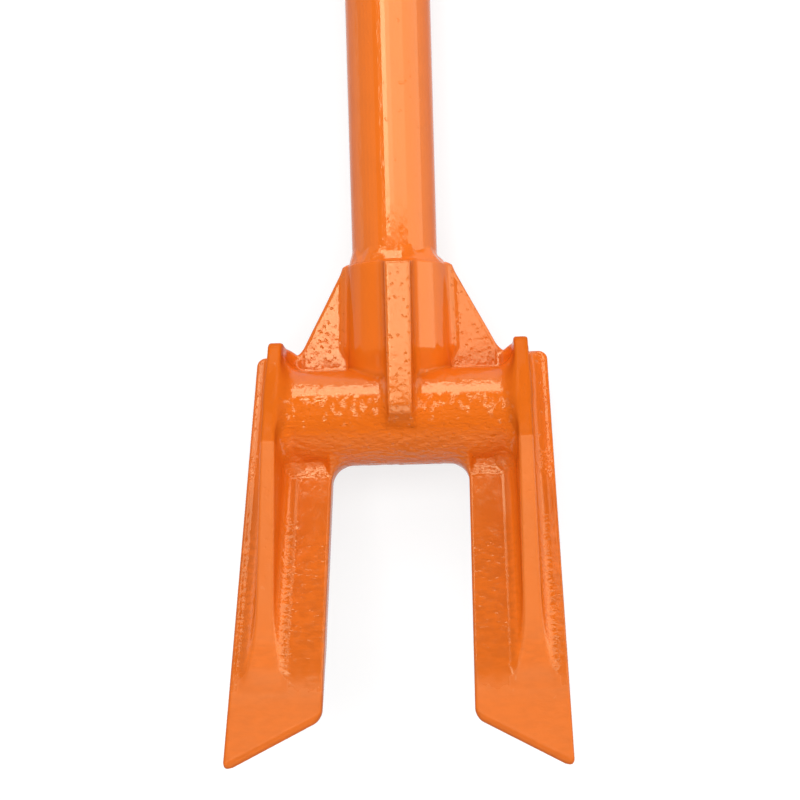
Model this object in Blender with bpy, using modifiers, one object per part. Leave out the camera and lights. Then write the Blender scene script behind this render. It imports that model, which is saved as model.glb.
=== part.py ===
"""Demolition bar: a two-tined cast head welded to a long steel tube.

The bar lies on its back. +X runs across the head, +Y up the handle and +Z towards
the bar's front, which is the side that the tines lean to. The origin is on the
ground under the middle of the bar. The neck is laid out around the tube's axis at
the crossbar's level: across, up the handle, and forward. The crossbar and the tines
stand a little forward of that. The tines share a leaning plane through the
crossbar's axis, laid out as across, up the tine, and square off the tine's front.
"""

import math

import bmesh
import bpy
from mathutils import Matrix, Vector

# Driving sizes, in metres.
# Crossbar, the round bar between the tines
CROSSBAR_RADIUS = 0.0237
CROSSBAR_FORWARD = 0.0080
CROSSBAR_SIDES = 56

# Neck, the round boss that carries the tube, its pilot and its centre rib
NECK_RIM_RADIUS = 0.0249
NECK_ROOT_RADIUS = 0.0262
NECK_TOP = 0.0750
NECK_FOOT = 0.0150
NECK_FOOT_RADIUS = 0.0150
NECK_RIM_ROUND = 0.0012
PILOT_RADIUS = 0.0155
PILOT_LENGTH = 0.0280
PILOT_CHAMFER = 0.0020
CENTRE_RIB_WIDTH = 0.0129
CENTRE_RIB_DRAFT = 0.06
CENTRE_RIB_OFFSET = 0.0019
CENTRE_RIB_TOP_PROUD = 0.0058
CENTRE_RIB_FOOT_PROUD = 0.0062
CENTRE_RIB_FOOT = 0.0060
CENTRE_RIB_HEEL = -0.0040

# Webs, the flat gussets beside the neck
WEB_THICKNESS = 0.0070
WEB_TOP_HALF = 0.0262
WEB_MIDDLE_HALF = 0.0345
WEB_MIDDLE_HEIGHT = 0.0580
WEB_FOOT_HALF = 0.0478
WEB_FOOT_HEIGHT = 0.0352
WEB_VALLEY_RADIUS = 0.0048
WEB_VALLEY_HALF = 0.0522
WEB_VALLEY_HEIGHT = 0.0371
WEB_VALLEY_START = 210.0
WEB_VALLEY_END = 310.0
WEB_TAIL_HEIGHT = 0.0300

# Tines
TINE_LEAN = math.radians(27.0)
HEAD_WIDTH = 0.1480
TINE_GAP = 0.0660
BLADE_THICKNESS = 0.0080
BLADE_FRONT = -0.0010
BLADE_TOP = 0.0355
BLADE_LENGTH_OUTER = 0.1616
TIP_RAKE = 0.0206
TIP_THICKNESS = 0.0040
TIP_BEVEL_LENGTH = 0.0280
TIP_CORNER_RADIUS = 0.0035
WING_CORNER_RADIUS = 0.0045
ARCH_RADIUS = 0.0090

# Ribs, one standing along each tine
RIB_OUTER_FACE = 0.0626
RIB_CREST_THICKNESS = 0.0066
RIB_ROOT_THICKNESS = 0.0090
RIB_HEIGHT = 0.0264
RIB_TOP = 0.0303
RIB_ROOT_TOP = 0.0342
RIB_TOP_RADIUS = 0.0040
RIB_CREASE = -0.0225
RIB_LOW_POINT = -0.1085
RIB_LOW_HEIGHT = 0.0050
RIB_END = -0.1230

# Handle tube, weld and end plug
TUBE_DIAMETER = 0.0422
TUBE_WALL = 0.0035
TUBE_LENGTH = 0.9700
TUBE_OFFSET = -0.0013
TUBE_SIDES = 64
WELD_HEIGHT = 0.0095
WELD_CROWN = 0.0012
WELD_TOE = 0.0004
PLUG_HEAD_THICKNESS = 0.0060
PLUG_LIP = 0.0009
PLUG_SHANK_LENGTH = 0.0260
PLUG_SHANK_WALL = 0.0022
PLUG_FIN_COUNT = 4
PLUG_FIN_DEPTH = 0.0017
PLUG_FIN_THICKNESS = 0.0014
PLUG_FIN_SLOPE = 0.0006
PLUG_EDGE_ROUND = 0.0020

# Fits and finish
CONTACT_GAP = 0.0003
EDGE_ROUND = 0.0010
OVERLAP = 0.0020
CORNER_STEPS = 4
ARCH_STEPS = 6

# Worked-out sizes
TUBE_RADIUS = TUBE_DIAMETER / 2
TUBE_BORE_RADIUS = TUBE_RADIUS - TUBE_WALL
TUBE_START = NECK_TOP + CONTACT_GAP
TUBE_END = TUBE_START + TUBE_LENGTH
PLUG_TOP = TUBE_END + CONTACT_GAP + PLUG_HEAD_THICKNESS
BLADE_INNER = TINE_GAP / 2
BLADE_OUTER = HEAD_WIDTH / 2
BLADE_BACK = BLADE_FRONT - BLADE_THICKNESS
RIB_CREST = BLADE_FRONT + RIB_HEIGHT
RIB_MIDDLE = RIB_OUTER_FACE - RIB_CREST_THICKNESS / 2
TIP_DEPTH = BLADE_FRONT - TIP_THICKNESS

ORANGE = (0.880, 0.205, 0.020)
ORANGE_WELD = (0.840, 0.190, 0.020)
ORANGE_TUBE = (0.900, 0.215, 0.022)
BLACK_PLASTIC = (0.015, 0.015, 0.016)


def clear_scene():
    for item in list(bpy.data.objects):
        bpy.data.objects.remove(item, do_unlink=True)


def make_collection(name):
    collection = bpy.data.collections.new(name)
    bpy.context.scene.collection.children.link(collection)
    return collection


def make_material(name, colour, roughness, metallic=0.0):
    material = bpy.data.materials.new(name)
    material.use_nodes = True
    shader = material.node_tree.nodes["Principled BSDF"]
    shader.inputs["Base Color"].default_value = (*colour, 1.0)
    shader.inputs["Roughness"].default_value = roughness
    shader.inputs["Metallic"].default_value = metallic
    material.diffuse_color = (*colour, 1.0)
    return material


def make_empty(name, parent=None, location=(0, 0, 0), rotation=(0, 0, 0)):
    empty = bpy.data.objects.new(name, None)
    PARTS.objects.link(empty)
    empty.parent = parent
    empty.location = location
    empty.rotation_euler = rotation
    return empty


def make_object(name, mesh, collection, parent=None, location=(0, 0, 0)):
    item = bpy.data.objects.new(name, mesh)
    collection.objects.link(item)
    item.parent = parent
    item.location = location
    return item


def hide_helper(item):
    item.hide_render = True
    item.display_type = "WIRE"


def add_bevel(item, width, segments=2, angle=30.0):
    bevel = item.modifiers.new("rounded edges", "BEVEL")
    bevel.width = width
    bevel.segments = segments
    bevel.limit_method = "ANGLE"
    bevel.angle_limit = math.radians(angle)
    return bevel


def add_boolean(item, other, operation):
    boolean = item.modifiers.new(operation.lower() + " " + other.name, "BOOLEAN")
    boolean.operation = operation
    boolean.solver = "EXACT"
    boolean.object = other


def arc_points(centre, radius, start, end, steps):
    """Points along an arc, angles in degrees, both ends included."""
    points = []
    for step in range(steps + 1):
        angle = math.radians(start + (end - start) * step / steps)
        points.append((centre[0] + radius * math.cos(angle),
                       centre[1] + radius * math.sin(angle)))
    return points


def rounded_corner(before, corner, after, radius):
    """Points of the arc that rounds the corner between two straight sides."""
    corner = Vector(corner)
    to_before = (Vector(before) - corner).normalized()
    to_after = (Vector(after) - corner).normalized()
    half_angle = to_before.angle(to_after) / 2
    reach = radius / math.tan(half_angle)
    centre = corner + (to_before + to_after).normalized() * radius / math.sin(half_angle)
    first = corner + to_before * reach - centre
    last = corner + to_after * reach - centre
    sweep = first.angle(last)
    points = []
    for step in range(CORNER_STEPS + 1):
        share = step / CORNER_STEPS
        blend = (first * math.sin((1 - share) * sweep)
                 + last * math.sin(share * sweep)) / math.sin(sweep)
        points.append(tuple(centre + blend))
    return points


def outline_plate(name, points, thickness):
    """A flat plate from a closed outline, as a mesh centred on its own plane."""
    curve = bpy.data.curves.new(name, "CURVE")
    curve.dimensions = "2D"
    curve.fill_mode = "BOTH"
    curve.extrude = thickness / 2
    spline = curve.splines.new("POLY")
    spline.points.add(len(points) - 1)
    for place, point in zip(spline.points, points):
        place.co = (point[0], point[1], 0.0, 1.0)
    spline.use_cyclic_u = True
    source = bpy.data.objects.new(name, curve)
    CUTTERS.objects.link(source)
    bpy.context.view_layer.update()
    graph = bpy.context.evaluated_depsgraph_get()
    mesh = bpy.data.meshes.new_from_object(source.evaluated_get(graph))
    bpy.data.objects.remove(source, do_unlink=True)
    bpy.data.curves.remove(curve)
    shape = bmesh.new()
    shape.from_mesh(mesh)
    bmesh.ops.remove_doubles(shape, verts=shape.verts, dist=0.00001)
    bmesh.ops.dissolve_limit(shape, angle_limit=math.radians(0.5), verts=shape.verts,
                             edges=shape.edges)
    bmesh.ops.recalc_face_normals(shape, faces=shape.faces)
    shape.to_mesh(mesh)
    shape.free()
    return mesh


def recalculate_faces(mesh):
    """Turn every face of a closed mesh outwards."""
    shape = bmesh.new()
    shape.from_mesh(mesh)
    bmesh.ops.recalc_face_normals(shape, faces=shape.faces)
    shape.to_mesh(mesh)
    shape.free()


def turned_object(name, profile, sides, collection, parent=None, location=(0, 0, 0),
                  axis="Y"):
    """A solid turned from (radius, height) points listed top to bottom."""
    mesh = bpy.data.meshes.new(name)
    shape = bmesh.new()
    corners = [shape.verts.new((radius, 0.0, height)) for radius, height in profile]
    closed = profile[0][0] > 0.0
    pairs = list(zip(corners, corners[1:]))
    if closed:
        pairs.append((corners[-1], corners[0]))
    for first, second in pairs:
        shape.edges.new((first, second))
    shape.to_mesh(mesh)
    shape.free()
    item = make_object(name, mesh, collection, parent, location)
    screw = item.modifiers.new("turned", "SCREW")
    screw.axis = "Z"
    screw.steps = sides
    screw.render_steps = sides
    screw.use_merge_vertices = True
    screw.merge_threshold = 0.00001
    if axis == "Y":
        item.rotation_euler = (-math.pi / 2, 0.0, 0.0)
    if axis == "X":
        item.rotation_euler = (0.0, math.pi / 2, 0.0)
    return item


def bake_modifiers(item):
    """Turn an object's modifiers into its mesh."""
    bpy.context.view_layer.update()
    graph = bpy.context.evaluated_depsgraph_get()
    mesh = bpy.data.meshes.new_from_object(item.evaluated_get(graph))
    item.modifiers.clear()
    item.data = mesh


def blade_outline(side):
    """One tine's plate, across and up the tine. It narrows above the crossbar."""
    inner_tip = (BLADE_INNER, TIP_RAKE - BLADE_LENGTH_OUTER)
    outer_tip = (BLADE_OUTER, -BLADE_LENGTH_OUTER)
    outer_top = (BLADE_OUTER, BLADE_TOP)
    rib_inside = RIB_MIDDLE - RIB_ROOT_THICKNESS / 2
    inner_top = (rib_inside, BLADE_TOP)
    inner_root = (rib_inside, 0.0)
    arch_inside = BLADE_INNER - ARCH_RADIUS
    arch_level = -CROSSBAR_RADIUS - ARCH_RADIUS
    points = rounded_corner((BLADE_INNER, 0.0), inner_tip, outer_tip, TIP_CORNER_RADIUS)
    points += rounded_corner(inner_tip, outer_tip, outer_top, TIP_CORNER_RADIUS)
    points += rounded_corner(outer_tip, outer_top, inner_top, WING_CORNER_RADIUS)
    points += [inner_top, inner_root, (arch_inside, 0.0)]
    points += arc_points((arch_inside, arch_level), ARCH_RADIUS, 90.0, 0.0, ARCH_STEPS)
    return [(side * x, y) for x, y in points]


def blade_cutter(side):
    """The wedge that thins the tip from behind."""
    length = TIP_BEVEL_LENGTH
    rake_angle = math.atan2(TIP_RAKE, BLADE_OUTER - BLADE_INNER)
    rise = (BLADE_THICKNESS - TIP_THICKNESS) / length
    mesh = bpy.data.meshes.new("tip_cutter")
    shape = bmesh.new()
    bmesh.ops.create_cube(shape, size=1.0)
    bmesh.ops.scale(shape, vec=(4 * length, 4 * length, 2 * length), verts=shape.verts)
    bmesh.ops.translate(shape, vec=(0.0, 0.0, -length), verts=shape.verts)
    shape.to_mesh(mesh)
    shape.free()
    cutter = make_object("tip_cutter", mesh, CUTTERS)
    hide_helper(cutter)
    middle = Vector((side * (BLADE_OUTER + BLADE_INNER) / 2,
                     TIP_RAKE / 2 - BLADE_LENGTH_OUTER, TIP_DEPTH))
    turn = Matrix.Rotation(-side * rake_angle, 4, "Z") @ Matrix.Rotation(
        -math.atan(rise), 4, "X")
    cutter.matrix_world = Matrix.Translation(middle) @ turn
    return cutter


def make_blade(side, plane):
    mesh = outline_plate("blade", blade_outline(side), BLADE_THICKNESS)
    blade = make_object("blade", mesh, CUTTERS,
                        location=(0.0, 0.0, (BLADE_FRONT + BLADE_BACK) / 2))
    cutter = blade_cutter(side)
    add_boolean(blade, cutter, "DIFFERENCE")
    add_bevel(blade, EDGE_ROUND)
    bake_modifiers(blade)
    bpy.data.objects.remove(cutter, do_unlink=True)
    blade.parent = plane
    return blade


def rib_outline():
    """A rib from the side, up the tine and off its face, sunk into the blade."""
    root = BLADE_FRONT - BLADE_THICKNESS / 2
    top_root = (RIB_ROOT_TOP, BLADE_FRONT - OVERLAP)
    top_front = (RIB_TOP, RIB_CREST)
    crease = (RIB_CREASE, RIB_CREST)
    low = (RIB_LOW_POINT, BLADE_FRONT + RIB_LOW_HEIGHT)
    foot = (RIB_END, BLADE_FRONT - EDGE_ROUND)
    points = [(RIB_END, root), (RIB_ROOT_TOP, root), top_root]
    points += rounded_corner(top_root, top_front, crease, RIB_TOP_RADIUS)
    points += [crease, low, foot]
    return points


def make_rib(side, plane):
    """A rib with draft: thin at its crest and thicker at its root."""
    mesh = outline_plate("rib", rib_outline(), 1.0)
    draft = (RIB_ROOT_THICKNESS - RIB_CREST_THICKNESS) / RIB_HEIGHT
    for corner in mesh.vertices:
        up, off, half = corner.co
        thickness = RIB_CREST_THICKNESS + draft * (RIB_CREST - off)
        across = RIB_MIDDLE * side + math.copysign(thickness / 2, half)
        corner.co = (across, up, off)
    recalculate_faces(mesh)
    rib = make_object("rib", mesh, CUTTERS)
    add_bevel(rib, EDGE_ROUND, segments=1)
    bake_modifiers(rib)
    rib.parent = plane
    return rib


def web_outline():
    """The left and right gussets and the neck's middle in one flat outline."""
    half = [(WEB_TOP_HALF, NECK_TOP - OVERLAP),
            (WEB_MIDDLE_HALF, WEB_MIDDLE_HEIGHT),
            (WEB_FOOT_HALF, WEB_FOOT_HEIGHT)]
    half += arc_points((WEB_VALLEY_HALF, WEB_VALLEY_HEIGHT), WEB_VALLEY_RADIUS,
                       WEB_VALLEY_START, WEB_VALLEY_END, CORNER_STEPS)
    half += [(RIB_MIDDLE, WEB_TAIL_HEIGHT), (RIB_MIDDLE, 0.0)]
    left = [(-x, y) for x, y in reversed(half)]
    return half + left


def make_crossbar(fork):
    half = RIB_MIDDLE
    profile = [(0.0, half), (CROSSBAR_RADIUS, half), (CROSSBAR_RADIUS, -half), (0.0, -half)]
    crossbar = turned_object("crossbar", profile, CROSSBAR_SIDES, CUTTERS, axis="X")
    bake_modifiers(crossbar)
    crossbar.parent = fork
    return crossbar


def make_neck(head):
    """The boss, its rounded rim and the pilot that enters the tube."""
    pilot_top = NECK_TOP + PILOT_LENGTH
    profile = [(0.0, pilot_top),
               (PILOT_RADIUS - PILOT_CHAMFER, pilot_top),
               (PILOT_RADIUS, pilot_top - PILOT_CHAMFER),
               (PILOT_RADIUS, NECK_TOP),
               (NECK_RIM_RADIUS - NECK_RIM_ROUND, NECK_TOP),
               (NECK_RIM_RADIUS, NECK_TOP - NECK_RIM_ROUND)]
    foot_centre = (NECK_ROOT_RADIUS - NECK_FOOT_RADIUS, NECK_FOOT)
    profile += arc_points(foot_centre, NECK_FOOT_RADIUS, 0.0, -90.0, ARCH_STEPS)
    profile += [(0.0, NECK_FOOT - NECK_FOOT_RADIUS)]
    neck = turned_object("neck", profile, TUBE_SIDES, CUTTERS)
    bake_modifiers(neck)
    neck.parent = head
    return neck


def make_centre_rib(head):
    """The rib down the front of the neck, from the side: up the handle and forward."""
    top = NECK_TOP - NECK_RIM_ROUND
    top_front = NECK_RIM_RADIUS + CENTRE_RIB_TOP_PROUD
    foot_front = CROSSBAR_FORWARD + CROSSBAR_RADIUS + CENTRE_RIB_FOOT_PROUD
    points = [(CENTRE_RIB_HEEL, 0.0), (top, 0.0), (top, top_front),
              (CENTRE_RIB_FOOT, foot_front),
              (CENTRE_RIB_HEEL, CROSSBAR_FORWARD + CROSSBAR_RADIUS - OVERLAP)]
    mesh = outline_plate("centre_rib", points, CENTRE_RIB_WIDTH)
    for corner in mesh.vertices:
        up, forward, half = corner.co
        draft = CENTRE_RIB_DRAFT * max(forward - NECK_RIM_RADIUS, 0.0)
        across = CENTRE_RIB_OFFSET + math.copysign(CENTRE_RIB_WIDTH / 2 - draft, half)
        corner.co = (across, up, forward)
    recalculate_faces(mesh)
    rib = make_object("centre_rib", mesh, CUTTERS)
    add_bevel(rib, EDGE_ROUND, segments=1)
    bake_modifiers(rib)
    rib.parent = head
    return rib


def make_web(head):
    mesh = outline_plate("web", web_outline(), WEB_THICKNESS)
    web = make_object("web", mesh, CUTTERS)
    add_bevel(web, EDGE_ROUND)
    bake_modifiers(web)
    web.parent = head
    return web


def make_fork_head(head, fork, plane, material):
    """The whole casting, joined from its forms."""
    pieces = [make_neck(head), make_web(head), make_centre_rib(head)]
    for side in (-1, 1):
        pieces.append(make_blade(side, plane))
        pieces.append(make_rib(side, plane))
    casting = make_crossbar(fork)
    for piece in pieces:
        add_boolean(casting, piece, "UNION")
        hide_helper(piece)
    bake_modifiers(casting)
    for piece in pieces:
        bpy.data.objects.remove(piece, do_unlink=True)
    casting.name = "fork_head"
    CUTTERS.objects.unlink(casting)
    PARTS.objects.link(casting)
    finish(casting, material)
    return casting


def finish(item, material, angle=35.0):
    item.data.materials.clear()
    item.data.materials.append(material)
    item.data.shade_smooth()
    item.data.set_sharp_from_angle(angle=math.radians(angle))


def make_tube(head, material):
    profile = [(TUBE_RADIUS, TUBE_END), (TUBE_RADIUS, TUBE_START),
               (TUBE_BORE_RADIUS, TUBE_START), (TUBE_BORE_RADIUS, TUBE_END)]
    tube = turned_object("handle_tube", profile, TUBE_SIDES, PARTS, head,
                         (TUBE_OFFSET, 0.0, 0.0))
    finish(tube, material)
    return tube


def make_weld(head, material):
    """The fillet of weld metal that joins the tube to the neck's rim.

    Its foot follows the rim and its top follows the tube, which is off centre.
    """
    foot = NECK_TOP + CONTACT_GAP
    inner = TUBE_RADIUS + CONTACT_GAP
    outer = NECK_RIM_RADIUS - NECK_RIM_ROUND
    middle = (inner + (outer - inner) / 2 + WELD_CROWN, foot + WELD_HEIGHT / 2)
    profile = [(inner, foot + WELD_HEIGHT), (inner + WELD_TOE, foot + WELD_HEIGHT),
               middle, (outer, foot), (inner, foot)]
    weld = turned_object("neck_weld", profile, TUBE_SIDES, CUTTERS)
    bake_modifiers(weld)
    for corner in weld.data.vertices:
        off_axis = math.hypot(corner.co.x, corner.co.y)
        share = (corner.co.z - foot) / WELD_HEIGHT
        if off_axis < inner + WELD_TOE / 2:
            share = 1.0
        corner.co.x += TUBE_OFFSET * share
    CUTTERS.objects.unlink(weld)
    PARTS.objects.link(weld)
    weld.parent = head
    finish(weld, material)
    return weld


def make_end_plug(head, material):
    """A finned plug pressed into the open end of the tube."""
    face = TUBE_END + CONTACT_GAP
    head_radius = TUBE_RADIUS + PLUG_LIP
    fin_radius = TUBE_BORE_RADIUS - CONTACT_GAP
    shank_radius = fin_radius - PLUG_FIN_DEPTH
    hollow_radius = shank_radius - PLUG_SHANK_WALL
    shank_end = face - PLUG_SHANK_LENGTH
    profile = [(0.0, PLUG_TOP)]
    profile += [(head_radius - PLUG_EDGE_ROUND + across, PLUG_TOP - PLUG_EDGE_ROUND + up)
                for across, up in arc_points((0.0, 0.0), PLUG_EDGE_ROUND, 90.0, 0.0,
                                              CORNER_STEPS)]
    profile += [(head_radius, face), (shank_radius, face)]
    pitch = PLUG_SHANK_LENGTH / (PLUG_FIN_COUNT + 1)
    for number in range(PLUG_FIN_COUNT):
        fin = face - pitch * (number + 1)
        profile += [(shank_radius, fin + PLUG_FIN_THICKNESS),
                    (fin_radius, fin + PLUG_FIN_SLOPE),
                    (fin_radius, fin),
                    (shank_radius, fin - PLUG_FIN_SLOPE)]
    profile += [(shank_radius, shank_end), (hollow_radius, shank_end),
                (hollow_radius, face), (0.0, face)]
    plug = turned_object("end_plug", profile, TUBE_SIDES // 2, PARTS, head,
                         (TUBE_OFFSET, 0.0, 0.0))
    finish(plug, material)
    return plug


def head_place():
    """Where the tube's axis meets the crossbar's level, with the bar centred."""
    blade_reach = -min(up for across, up in blade_outline(1))
    reach = blade_reach * math.cos(TINE_LEAN) - TIP_DEPTH * math.sin(TINE_LEAN)
    return Vector((0.0, (reach - PLUG_TOP) / 2, NECK_ROOT_RADIUS))


clear_scene()
PARTS = make_collection("demolition_bar")
CUTTERS = make_collection("cutters")
HEAD = make_empty("tube_axis", location=head_place())
FORK = make_empty("crossbar_axis", parent=HEAD, location=(0.0, 0.0, CROSSBAR_FORWARD))
TINE_PLANE = make_empty("tine_plane", parent=FORK, rotation=(-TINE_LEAN, 0.0, 0.0))
COAT = make_material("orange_coat_casting", ORANGE, 0.32)
COAT_WELD = make_material("orange_coat_weld", ORANGE_WELD, 0.32)
COAT_TUBE = make_material("orange_coat_tube", ORANGE_TUBE, 0.25)
PLASTIC = make_material("black_plastic", BLACK_PLASTIC, 0.5)
make_fork_head(HEAD, FORK, TINE_PLANE, COAT)
make_tube(HEAD, COAT_TUBE)
make_weld(HEAD, COAT_WELD)
make_end_plug(HEAD, PLASTIC)
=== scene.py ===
"""The demolition bar's looks: its cast head, weld, tube and plug, with light and camera.

The head is laid out as in the model: across, up the handle from the crossbar's level,
and forward of the tube's axis. The tines share a leaning plane through the crossbar's
axis, laid out as up the tine and off the tine's front. Lengths are in metres.
"""

import math

import bpy
import numpy as np
from mathutils import Euler, Matrix, Vector


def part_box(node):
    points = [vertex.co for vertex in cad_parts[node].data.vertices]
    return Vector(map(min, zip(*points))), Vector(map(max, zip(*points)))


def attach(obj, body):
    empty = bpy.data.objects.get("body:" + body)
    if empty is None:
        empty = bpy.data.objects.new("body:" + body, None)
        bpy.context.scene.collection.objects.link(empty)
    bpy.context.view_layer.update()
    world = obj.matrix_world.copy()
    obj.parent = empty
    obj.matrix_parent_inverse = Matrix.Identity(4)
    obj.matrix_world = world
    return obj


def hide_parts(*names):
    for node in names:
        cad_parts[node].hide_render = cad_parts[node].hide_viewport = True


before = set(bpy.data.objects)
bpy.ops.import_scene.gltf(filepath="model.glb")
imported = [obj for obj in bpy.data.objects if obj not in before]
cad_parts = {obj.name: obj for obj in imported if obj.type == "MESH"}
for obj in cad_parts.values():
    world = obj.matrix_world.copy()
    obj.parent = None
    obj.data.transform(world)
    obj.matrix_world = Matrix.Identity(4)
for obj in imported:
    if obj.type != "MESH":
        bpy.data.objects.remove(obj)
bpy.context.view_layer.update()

# Crossbar and neck
CROSSBAR_RADIUS = 0.0237
CROSSBAR_FORWARD = 0.0080
CROSSBAR_END_ROUND = 0.0040
NECK_RIM_RADIUS = 0.0249
NECK_ROOT_RADIUS = 0.0262
NECK_TOP = 0.0750
NECK_FOOT = 0.0150
NECK_RIM_ROUND = 0.0012
NECK_FOOT_FLAT = 0.13
NECK_FOOT_BAND = (0.0220, 0.0340)
PILOT_RADIUS = 0.0155
PILOT_TOP = 0.1030
CONTACT_GAP = 0.0003

# Centre rib
CENTRE_RIB_HALF = 0.00645
CENTRE_RIB_DRAFT = 0.06
CENTRE_RIB_OFFSET = 0.0019
CENTRE_RIB_TOP_FRONT = 0.0307
CENTRE_RIB_CREASE = 0.0068
CENTRE_RIB_CREASE_FRONT = 0.0375
CENTRE_RIB_FOOT = 0.0030
CENTRE_RIB_FOOT_FRONT = 0.0364
CENTRE_RIB_HEEL = -0.0065
CENTRE_RIB_HEEL_FRONT = 0.0300
CENTRE_RIB_ROOT = 0.0100

# Webs
WEB_HALF_THICKNESS = 0.0035
WEB_DRAFT = 0.070
WEB_MIDDLE = 0.0350
WEB_TOP_HALF = 0.0262
WEB_FOOT_HALF = 0.0478
WEB_FOOT_HEIGHT = 0.0352
WEB_TAIL_HEIGHT = 0.0300

# Tines and their ribs
TINE_LEAN = math.radians(27.0)
BLADE_INNER = 0.0330
BLADE_OUTER = 0.0740
WING_INNER = 0.0548
BLADE_FRONT = -0.0010
BLADE_BACK = -0.0090
BLADE_TOP = 0.0355
BLADE_LENGTH_INNER = 0.1410
BLADE_LENGTH_OUTER = 0.1616
TIP_THICKNESS = 0.0040
TIP_BEVEL_LENGTH = 0.0280
TIP_CHAMFER_DEPTH = 0.0013
TIP_CHAMFER_LENGTH = 0.0026
FACET_START = -0.0309
FACET_LENGTH = 0.0120
FACET_RISE = 0.25
RIB_MIDDLE = 0.0593
RIB_CREST_HALF = 0.0033
RIB_DRAFT = 0.0455
RIB_CREST = 0.0254
RIB_TOP = 0.0303
RIB_ROOT_TOP = 0.0342
RIB_CREASE = -0.0225
RIB_END = -0.1240
RIB_TOE_EASE = 0.0014
RIB_TOE_END = -0.1370

# Cast rounds and hollows
HOLLOW_NECK = 0.0012
HOLLOW_WEB = 0.0045
HOLLOW_WEB_FOOT = 0.0003
WEB_FOOT_BAND = (0.0260, 0.0350)
HOLLOW_CENTRE_RIB = 0.0042
HOLLOW_RIB = 0.0075
HOLLOW_TINE = 0.0065
HOLLOW_ARCH = 0.0095
HOLLOW_EAR = 0.0085
HOLLOW_FACET = 0.0016
ARCH_BAND = (0.0325, 0.0370)
FACET_BAND = (0.0440, 0.0490)
EAR_BAND = (0.0030, 0.0110)
EDGE_ROUND = 0.0012
WING_ROUND = 0.0045
TIP_ROUND = 0.0035
EAR_ROUND = 0.0040

MILLIMETRE = 0.001

# The net of faces over the casting
MESH_STEP = 0.00075
MESH_MARGIN = 3
MESH_SETTLES = 3

# Where the surface's marks begin and end, each from the first number to the second.
# UP is up the handle, DOWN is down the tine, OFF is off the tine's front.
NECK_SKIN = (0.0006, 0.0022)
NECK_UP = (0.016, 0.024)
NECK_LEFT = (0.006, 0.010)
BAR_SKIN = (0.0008, 0.0035)
BAR_TOP_UP = (0.008, 0.013)
BAR_TOP_END_UP = (0.026, 0.034)
CRUST_END_UP = (0.0065, 0.0115)
BAND_UP = (0.007, 0.010)
BAND_END_UP = (0.017, 0.019)
FRINGE_END_UP = (0.0112, 0.0122)
SPOTTED_UP = (-0.008, 0.0115)
UNDER_DOWN = (0.002, 0.016)
FRONT_FORWARD = (-0.010, 0.005)
RIB_HALF = (0.0480, 0.0530)
RIB_OFF = (-0.0009, 0.0010)
RIB_TOP_OFF = (0.018, 0.022)
RIB_TOP_ALONG = (RIB_CREASE - 0.001, RIB_CREASE + 0.001)
CREST_END = (0.0002, 0.0007)
BLADE_DOWN = (0.0300, 0.0320)
BLADE_END_OFF = (0.008, 0.014)
BLADE_TOP_DOWN = (0.018, 0.021)
BLADE_TOP_END_DOWN = (0.0306, 0.0312)
BLADE_TOP_OFF = (-0.006, -0.002)
BLADE_TOP_END_OFF = (0.006, 0.012)
# Where the painted shade on the blades sets in.
BLADE_SHADE_DOWN = (0.025, 0.045)
TIP_DOWN = (0.114, 0.138)
TOE_EDGE = (0.0004, 0.0012)
TOE_DOWN = (0.100, 0.112)
TOE_END_DOWN = (0.128, 0.136)
HOLLOW_HALF = (0.0460, 0.0475)
HOLLOW_END_HALF = (0.0715, 0.0725)
HOLLOW_DOWN = (0.045, 0.055)
HOLLOW_RISE = (-0.0002, 0.0003)
HOLLOW_END_OFF = (0.003, 0.005)
WING_HALF = (0.0650, 0.0675)
FLANK_BESIDE = (0.0058, 0.0066)
FLANK_END_BESIDE = (0.0088, 0.0098)
FLANK_UP = (0.016, 0.020)
HAMMERED_DOWN = (0.045, 0.075)
HAMMERED_END_DOWN = (0.104, 0.124)
HAMMERED_END_OFF = (0.0, 0.006)
HAMMERED_FORWARD = (-0.005, 0.010)

# Cast roughness: height in millimetres, lump size in metres, seed
CAST_LUMPS = (0.060, (0.0110, 0.0110, 0.0110), 11)
CAST_DIMPLES = (0.040, (0.0042, 0.0042, 0.0042), 12)
CAST_FINE_DIMPLES = (0.034, (0.0024, 0.0024, 0.0024), 13)
CAST_CRUST = (0.150, (0.0026, 0.0022, 0.0022), 15)
CAST_STREAKS = (0.024, (0.0080, 0.0034, 0.0070), 14)
SMOOTH_LUMP_SHARE = 0.25


def cylinder_axis():
    """Where the tube's axis meets the crossbar's level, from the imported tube."""
    low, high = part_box("handle_tube")
    return low.y - NECK_TOP - CONTACT_GAP, (low.z + high.z) / 2, (low.x + high.x) / 2


HEAD_Y, HEAD_Z, TUBE_X = cylinder_axis()


def smooth_share(values, low, high):
    """0 up to low and 1 from high, easing from one to the other."""
    share = np.clip((values - low) / (high - low), 0, 1)
    return share * share * (3 - 2 * share)


def rises(values, band):
    return smooth_share(values, *band)


def falls(values, band):
    return 1 - smooth_share(values, *band)


def blend_in(first, second, radius):
    """Two forms joined, with a hollow of that radius between them."""
    return (np.maximum(radius, np.minimum(first, second))
            - np.hypot(np.maximum(radius - first, 0), np.maximum(radius - second, 0)))


def ease_in(first, second, reach):
    """Two nearly parallel faces joined, bending over where they are within reach."""
    near = np.maximum(reach - np.abs(first - second), 0)
    return np.minimum(first, second) - near * near / (4 * reach)


def cut_by(first, second, radius):
    """What two forms share, with its edge rounded to that radius."""
    return (np.minimum(-radius, np.maximum(first, second))
            + np.hypot(np.maximum(first + radius, 0), np.maximum(second + radius, 0)))


def beyond(across, along, start, end):
    """How far points lie to the left of the line from start to end."""
    step = (end[0] - start[0], end[1] - start[1])
    length = math.hypot(*step)
    return ((along - start[1]) * step[0] - (across - start[0]) * step[1]) / length


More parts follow.
